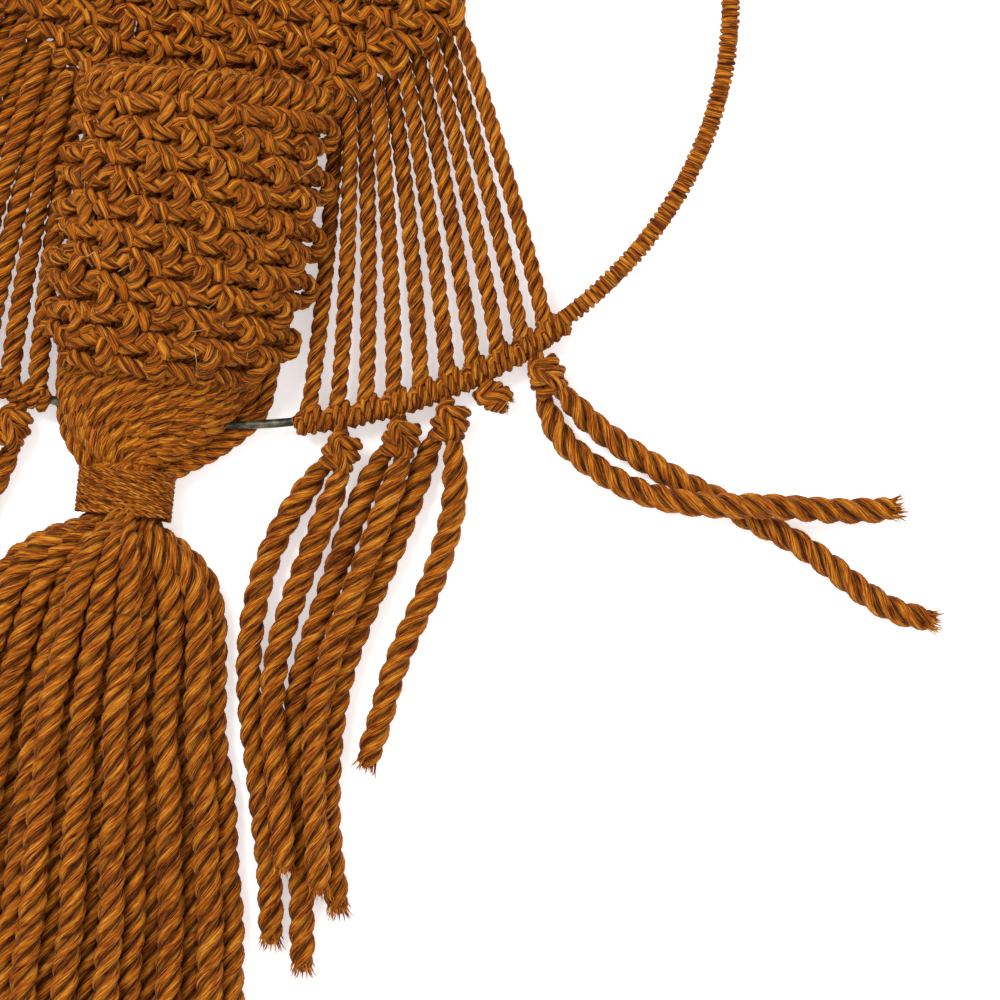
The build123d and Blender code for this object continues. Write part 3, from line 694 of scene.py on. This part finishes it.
panel_rows = [(0, 36, 0, 36) if row % 2 else (2, 34, 0, 36) for row in range(level_rows)]
panel_rows += [(2 * n, panel_cords - 2 * n, 2 * n, panel_cords - 2 * n) for n in range(1, short_rows + 1)]
panel_rows += [(10, 26, 10, 26) if n % 2 else (12, 24, 10, 26) for n in range(1, back_rows + 1)]
panel_lines = [[] for cord in range(panel_cords)]
knotted_net(panel_lines, panel_rows, panel_place, knot_radius, 11)
print("rows:", len(panel_rows), "points on the middle cord:", len(panel_lines[18]))

# %% [markdown]
# A lark's head is a folded cord: its fold lies across the front, and its two ends go over the wire from the
# front and come out under the fold. So each pair of the panel's cords is really one cord, and is made as one.

# %% Lark's heads
lark_half = ((-2.0, -8.5, 0.0), (-1.9, -5.6, 0.8), (-1.7, -2.0, 2.6), (-1.8, 1.4, 3.2), (-2.0, 3.3, 0.6),
             (-2.2, 2.2, -2.6), (-2.5, -1.0, -3.4), (-3.2, -3.6, -1.6), (-3.7, -4.6, 1.6), (-1.9, -4.7, 4.2))
lark_points = lark_half + tuple((-x, y, z) for x, y, z in reversed(lark_half))


def lark(centre, along_way, over_way, front, wide=1.0, high=1.0):
    """One lark's head: sideways along the bar, over it, and towards the front."""
    return [centre + along_way * u * wide + over_way * v * high + front * w * high for u, v, w in lark_points]


up = np.array((0, 0, 1.0))
pairs_with_head = []
for pair in range(panel_cords // 2):
    left, right = panel_lines[2 * pair], panel_lines[2 * pair + 1]
    x = panel_x + (2 * pair + 0.5 - (panel_cords - 1) / 2) * knot_pitch / 4
    angle = math.degrees(math.acos(x / hoop_half_width))
    out = hoop_outward(angle)
    along_way = np.cross(out, up)
    head = lark(hoop_point(angle), along_way, out, up, 1.02, 1.0)
    pairs_with_head.append((left, head, right))
print("lark's heads:", len(pairs_with_head))

# %% [markdown]
# Ten cords on each side leave the panel one by one, fan out to the hoop, and are hitched round it twice. In
# the fan they lie half on each other near the panel, so every second one is a little higher.

# %% Drop cords and hitches
cords_per_side, drop_lift, drop_bow = 10, 2.2, 1.2
hitch_first = {"right": -73.7, "left": -104.3}
hitch_last = {"right": -44.1, "left": -133.9}
drop_first = {"right": ((44, -36), (79.5, -3.5)), "left": ((-37, -36), (-71, -3.5))}
for side, way in (("right", 1), ("left", -1)):
    for number in range(cords_per_side):
        part = number / (cords_per_side - 1)
        (x0, y0), (x1, y1) = drop_first[side]
        start = at(x0 + (x1 - x0) * part, y0 + (y1 - y0) * part,
                   wire_lift + (-drop_lift, drop_lift)[number % 2])
        angle = hitch_first[side] + (hitch_last[side] - hitch_first[side]) * part
        out, centre = hoop_outward(angle), hoop_point(angle)
        along_way = np.cross(up, out)
        reach = wire_dia / 2 + 1.65
        foot = centre - out * (reach + 0.6) + up * 1.6
        bow = np.array((1.0, 0, 0)) * way * drop_bow
        cord = (26 + number) if side == "right" else (9 - number)
        line = panel_lines[cord]
        line += [start, start + (foot - start) * 0.35 + bow, start + (foot - start) * 0.7 + bow, foot]
        for step in range(20):
            turn = math.radians(35 + 45 * step)
            along = (-3.9 + 7.8 * step / 19) * way
            round_wire = up * math.sin(turn + 0.6) - out * math.cos(turn + 0.6)
            line.append(centre + along_way * along + reach * round_wire)
        line.append(centre + along_way * 4.0 * way + out * (reach + 0.8) - up * 1.5)
print("drop cords:", 2 * cords_per_side)

# %% [markdown]
# The sixteen middle cords go on below the panel to the gather. They are the same cords as above, so their
# lines are only made longer.

# %% Middle cords go down behind the pocket to the gather
neck_half_width, neck_half_height, neck_z = 12.0, 6.2, 10.0
middle_cords = range(10, 26)
for cord in middle_cords:
    part = (cord - 17.5) / 7.5
    line = panel_lines[cord]
    line += [at(0.5 + part * 32, -116, 5), at(-1.0 + part * 31, -131, 5.2), at(-5.0 + part * 24, -143, 5.5),
             at(-8.0 + part * 15, -151, 7), at(gather_x + part * 10.5, -156, 8),
             at(gather_x + part * 9.5, -164, 8)]

# %% [markdown]
# The cord is 4.6 mm thick where a knot grips it and 5.8 mm thick where it runs free, so each cord's thickness
# follows its place: thin down to its last knot, then swelling over two centimetres.

# %% Make the panel
slack_dia, tight_dia, hitched_dia = 5.6, 5.3, 4.0


def panel_cord(left, head, right, left_cord, right_cord):
    """One folded cord: up the left one, round the hoop, and down the right one."""
    control = list(reversed(left)) + head + list(right)
    line = through(control, 1.2)
    along = lengths_along(line)
    dias = np.full(len(line), tight_dia)
    for cord, cord_line, from_end in ((left_cord, left, False), (right_cord, right, True)):
        place = along[-1] - along if from_end else along
        if not 10 <= cord < 26:
            wrapped = lengths_along(np.array(cord_line[-22:]))[-1]
            free_end = wrapped + np.linalg.norm(cord_line[-22] - cord_line[-25]) + 6
            free = np.clip((place - wrapped + 4) / 8, 0, 1) * np.clip((free_end - place) / 14, 0, 1)
            dias += free * ((7.0 if cord < 10 else slack_dia) - tight_dia)
            hitched = hitched_dia + np.clip((place - wrapped + 6) / 6, 0, 1) * 0.4
            dias = np.where(place < wrapped, hitched, dias)
    middle = along[np.argmin(np.linalg.norm(line - head[len(head) // 2], axis=1))]
    tightened = 4.1 + np.clip((abs(along - middle) - 14) / 8, 0, 1)
    dias = np.where(abs(along - middle) < 22, np.minimum(dias, tightened), dias)
    return twisted(line, dias, 15.0)


panel_swept = [panel_cord(left, head, right, 2 * number, 2 * number + 1)
               for number, (left, head, right) in enumerate(pairs_with_head)]
for number in range(6):
    stands_for = ("panel", "larks_heads", "back_cords", "drop_cords_right", "drop_cords_left",
                  "hitches_right", "hitches_left") if number == 0 else ()
    piece = cord_piece(f"panel_cords_{number + 1}", panel_swept[3 * number:3 * number + 3],
                       cord_material, "planter", stands_for)
    print(piece.name, len(piece.data.polygons), "faces")

# %% [markdown]
# The pocket is a second net of the same knots, wrapped over the pot's place: a half round that bulges from
# the panel. Its cords hang from a thick rim cord by lark's heads, and below the last knots they run loose to
# the gather.

# %% The pocket's surface
pocket_sections = ((-30.0, 4.5, 40.5, 26.0), (-37.2, 4.0, 40.0, 26.5), (-62.0, 2.5, 42.0, 30.0),
                   (-90.0, 1.2, 41.2, 30.0), (-113.0, -1.3, 38.9, 25.0), (-135.0, -6.0, 31.0, 16.0), (-152.0, -9.0, 14.0, 8.0))
pocket_floor, cord_inset = 9.0, 6.8
half_ellipse = np.linspace(-math.pi / 2, math.pi / 2, 121)


def pocket_place(share, y, proud=0.0):
    """A place on the pocket. share runs evenly along the cloth, from -1 at its left edge to 1."""
    levels = [section[0] for section in reversed(pocket_sections)]
    x, wide, high = (np.interp(y, levels, [section[n] for section in reversed(pocket_sections)])
                     for n in (1, 2, 3))
    wide, high = wide - cord_inset, high - cord_inset
    xs, zs = wide * np.sin(half_ellipse), high * np.cos(half_ellipse)
    marks = lengths_along(np.stack((xs, zs, 0 * xs), axis=1))
    angle = np.interp((share + 1) / 2 * marks[-1], marks, half_ellipse)
    way = np.array((math.sin(angle) * high, 0, math.cos(angle) * wide))
    way /= np.linalg.norm(way)
    return at(x + wide * math.sin(angle), y, pocket_floor + high * math.cos(angle)) + way * proud, way


pocket_cords, pocket_rows, pocket_top = 20, 10, -42.5
pocket_pitch, pocket_radius = 8.3, 2.45


def pocket_net_place(cord, row, dx, dy, dz):
    """A place in the pocket's net, from a cord's number and its place in a knot."""
    y = pocket_top - pocket_pitch * row + dy
    pace = 47.0 if row < 7 else 47.0 - 2.2 * (row - 6)
    share = (cord - (pocket_cords - 1) / 2) / (pocket_cords / 2) * 0.97
    return pocket_place(share + dx / pace, y, dz)[0]


pocket_lines = [[] for cord in range(pocket_cords)]
knotted_net(pocket_lines, [(0, 20, 0, 20) if row % 2 == 0 else (2, 18, 0, 20) for row in range(pocket_rows)],
            pocket_net_place, pocket_radius, 23)
rim_y = -33.0
pocket_swept = []
for pair in range(pocket_cords // 2):
    share = (2 * pair + 0.5 - (pocket_cords - 1) / 2) / (pocket_cords / 2) * 0.97
    centre, front = pocket_place(share, rim_y)
    before, after = pocket_place(share - 0.02, rim_y)[0], pocket_place(share + 0.02, rim_y)[0]
    along_way = (after - before) / np.linalg.norm(after - before)
    head = lark(centre, along_way, np.array((0, 1.0, 0)), front, 1.12, 1.18)
    ends = []
    for cord in (2 * pair, 2 * pair + 1):
        part = (cord - 9.5) / 9.5
        line = list(pocket_lines[cord])
        for y, spread in ((-124, 1.0), (-132, 1.0), (-140, 0.95), (-147, 0.8), (-151, 0.66)):
            line.append(pocket_place(part * spread, y, chance.normal(0, 0.4))[0])
        turn = math.pi / 2 * (1 - part * 0.95)
        for y in (-155, -164):
            line.append(at(gather_x + (neck_half_width - 2) * math.cos(turn), y,
                           neck_z + (neck_half_height - 1.2) * (2 * math.sin(turn) - 1)))
        ends.append(line)
    control = list(reversed(ends[0])) + head + ends[1]
    line = through(control, 1.2)
    along = lengths_along(line)
    to_end = np.minimum(along, along[-1] - along)
    swell = 1.5 * np.clip((52 - to_end) / 10, 0, 1) * np.clip((to_end - 4) / 10, 0, 1)
    dias = np.where(to_end < 52, 5.7 + swell, 5.7)
    pocket_swept.append(twisted(line, dias, 15.5))
rim_line = np.array([pocket_place(share, rim_y)[0] for share in np.linspace(-1.02, 1.02, 60)])
rim_drop = np.array((0, -1.5, -3.0))
rim_line = np.vstack((rim_line[0] + rim_drop, rim_line, rim_line[-1] + rim_drop))
rim_cord = twisted(through(rim_line, 1.2), 4.2, 15)
edge_cords = []
for share in (-1.0, 1.0):
    edge = [pocket_place(share, y, -1.5)[0] - up * 1.5 for y in range(-36, -130, -6)]
    edge_cords.append(twisted(through(edge, 1.2), 6.2, 17))
for number in range(4):
    last_swept = pocket_swept[9:] + [rim_cord] + edge_cords
    swept = pocket_swept[number * 3:number * 3 + 3] if number < 3 else last_swept
    piece = cord_piece(f"pocket_cords_{number + 1}", swept, cord_material, "planter",
                       ("pocket",) if number == 0 else ())
    print(piece.name, len(piece.data.polygons), "faces")

# %% [markdown]
# Thin single-ply yarn is wound tightly round the wire between the knots, round the neck of the pocket, and
# round the root of the hanging loop. A winding is one long helix.

# %% Windings
yarn_dia, yarn_pitch = 2.9, 2.15


def winding(first_angle, last_angle, radius, dia, pitch):
    """A helix round the hoop's wire between two places on it."""
    arc = np.array([hoop_point(angle) for angle in np.linspace(first_angle, last_angle, 200)])
    turns = lengths_along(arc)[-1] / pitch
    count = int(turns * 14)
    points = []
    for step in range(count + 1):
        angle = first_angle + (last_angle - first_angle) * step / count
        turn = 2 * math.pi * turns * step / count
        points.append(hoop_point(angle) + radius * (1 + 0.03 * math.sin(turn * 0.37)) *
                      (hoop_outward(angle) * math.cos(turn) + up * math.sin(turn)))
    return twisted(np.array(points), dia, 20.0)


for side, first_angle, last_angle in (("right", 58.6, -42.3), ("left", 117.5, 224.3)):
    halves = 2
    for part in range(halves):
        a = first_angle + (last_angle - first_angle) * part / halves
        b = first_angle + (last_angle - first_angle) * (part + 1) / halves
        cord_piece(f"hoop_winding_{side}_{part + 1}", [winding(a, b, 1.7, yarn_dia, yarn_pitch)],
                   yarn_material, "planter", (f"hoop_wrap_{side}",) if part == 0 else ())

gather_turns = 11
points = []
for step in range(gather_turns * 40 + 1):
    turn = 2 * math.pi * step / 40
    y = gather_top - 0.9 - (gather_top - gather_bottom - 1.8) * step / (gather_turns * 40)
    points.append(at(gather_x + (neck_half_width + 2.6) * math.cos(turn), y,
                     neck_z + (neck_half_height + 2.3) * math.sin(turn)))
gather = [twisted(np.array(points), 1.75, 8.0)]
cord_piece("gather_winding", gather, yarn_material, "planter", ("gather_wrap",))
print("windings made")

# %% [markdown]
# The hanging loop is one length of rope, doubled over a hook, whose two legs are bound to the wire with a
# few turns of cord. It can swing on the wire, so it has a body of its own.

# %% Hanging loop
loop_half = ((4.4, 139.95, 7), (4.8, 152.5, 5.6), (13.5, 171.5, 3.75), (15.5, 191.5, 3.35), (8, 211.5, 3.35))
loop_points = [at(x, y - 2, z) for x, y, z in loop_half]
loop_points += [at(-x, y - 2, z) for x, y, z in reversed(loop_half)]
root = [at(4.4, 137.6, 2.4), at(4.4, 133.0, 4.5), at(4.4, 132.4, 8.6), at(4.4, 136.2, 11.3)]
loop_end = np.array((-root[3][0], root[3][1] + 1, root[3][2]))
loop_line = smooth_route([root[3] + np.array((0, 1.0, 0))] + loop_points + [loop_end])
loop_swept = [twisted(loop_line, 6.2, 20.0)]
points = []
loop_turns = 5
for step in range(loop_turns * 20 + 1):
    turn = 2 * math.pi * step / 20
    x = -7.4 + 14.8 * step / (loop_turns * 20)
    points.append(at(x, hoop_half_height + 3.3 * math.cos(turn) - 0.1 * abs(x) ** 1.2 * 0.15,
                     wire_lift + 3.3 * math.sin(turn)))
loop_swept.append(twisted(np.array(points), 3.0, 12.0))
cord_piece("hanging_loop_rope", loop_swept, cord_material, "hanging_loop", ("hanging_loop",))

# %% [markdown]
# Behind each group of hitches the ends are tied in an overhand knot. Seen from the front it is two turns of
# cord with one strand slanting over them, so that is what is made, a little different each time.

# %% Overhand knots
def overhand(root, belly, mouth, onward, size, dice):
    """The cords of one overhand knot that sits between the hoop and its tails."""
    side = np.cross(up, onward)
    side /= np.linalg.norm(side)
    rise = np.cross(onward, side)
    centre = belly + onward * 1.5
    centre[2] = max(centre[2], size * 0.5 + 0.6)
    turns = []
    for step in range(41):
        turn = 2 * math.pi * (step / 16) + dice.uniform(-0.1, 0.1)
        along = -size * 0.42 + size * 0.84 * step / 40
        reach = size * (0.36 - 0.09 * abs(2 * step / 40 - 1) ** 2)
        turns.append(centre + onward * along + reach * (side * math.cos(turn) + rise * math.sin(turn)))
    over = [centre - onward * size * 0.55 - side * size * 0.2,
            centre - onward * size * 0.2 - side * size * 0.3 + rise * size * 0.42,
            centre + onward * size * 0.15 + side * size * 0.12 + rise * size * 0.56,
            centre + onward * size * 0.45 + side * size * 0.3 + rise * size * 0.2]
    neck = [root - (belly - root) * 0.55, root, centre - onward * size * 0.1]
    return [twisted(through(turns, 1.15), 4.6, 15), twisted(through(over, 1.15), 4.4, 15),
            twisted(through(np.array(neck), 1.15), 5.4, 15)]


knots_of = {}
dice = np.random.default_rng(5)
for name, (hitch_angle, exit_angle, high_side, low_route, high_route) in tails.items():
    outward, onward, rise, root, belly, mouth = tail_pair(hitch_angle, exit_angle, high_side)
    body = tail_body.get(name, f"tails_{name}")
    knots_of.setdefault(body, []).extend(overhand(root, belly, mouth, onward, 11.5, dice))
for body, swept in knots_of.items():
    node = "tail_knots_right_inner" if body == "tails_right_inner" else body.replace("tails_", "tail_knot_")
    cord_piece(f"overhand_{body}", swept + held_parts[body], cord_material, body, (node,))

trimmed_angle, trimmed_way = -53.8, math.radians(-25)
out = hoop_outward(trimmed_angle)
root = hoop_point(trimmed_angle) + out * (wire_dia / 2 + hitch_thick + 0.4)
onward = np.array((math.cos(trimmed_way), math.sin(trimmed_way), 0))
stub = overhand(root, root + out * 3.2, root + out * 3 + onward * 5, onward, 8.5, dice)
cord_piece("overhand_trimmed", stub, cord_material, "tail_right_4", ("tail_knot_right_4",))
spikes("frayed_ends_trimmed", tuft(root + out * 3.2 + onward * 7, onward, 5.5, 30, 3.5, 0.7, 77),
       "tail_right_4", cord_material)
print("knots:", len(tails) + 1)

# %% [markdown]
# A few stiff straw-coloured hairs stand out of the yarn. Each is a thin spike that lies just off the knots.

# %% Stray hairs
straw_material, straw_shader = new_material("straw_fibre")
straw_place = add_node(straw_material, "ShaderNodeTexCoord")
straw_noise = add_node(straw_material, "ShaderNodeTexNoise",
                       [(straw_place.outputs["Object"], 0), (400.0, "Scale")])
straw_ramp = add_node(straw_material, "ShaderNodeValToRGB", [(straw_noise.outputs[0], 0)])
for element, tone in zip(straw_ramp.color_ramp.elements, ("#a8854a", "#e0c48a")):
    element.color = linear(tone)
straw_material.node_tree.links.new(straw_ramp.outputs[0], straw_shader.inputs["Base Color"])
straw_shader.inputs["Roughness"].default_value = 0.6
dice = np.random.default_rng(41)
hairs = []
for number in range(34):
    if number % 2:
        spot = at(dice.uniform(-60, 70), dice.uniform(-22, 118), 13.0)
    else:
        spot, way = pocket_place(dice.uniform(-0.7, 0.7), dice.uniform(-118, -40), 7.5)
    turn, long = dice.uniform(0, 2 * math.pi), dice.uniform(4, 11)
    run = np.array((math.cos(turn), math.sin(turn), dice.uniform(-0.1, 0.25))) * long
    hairs.append((spot, spot + run * 0.5 + dice.normal(0, 0.5, 3), spot + run, dice.uniform(0.14, 0.22)))
spikes("stray_hairs", hairs, "planter", straw_material)
print("hairs:", len(hairs))

# %% [markdown]
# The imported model's hoop stays in the scene as the wire itself, and takes the wire's finish. The windings
# hide most of it.

# %% The wire that stays bare
for name, node in frame["nodes"].items():
    if name == "hoop":
        hoop_object = bpy.data.objects[node] if isinstance(node, str) else node
        hoop_object.data.materials.clear()
        hoop_object.data.materials.append(wire_material)
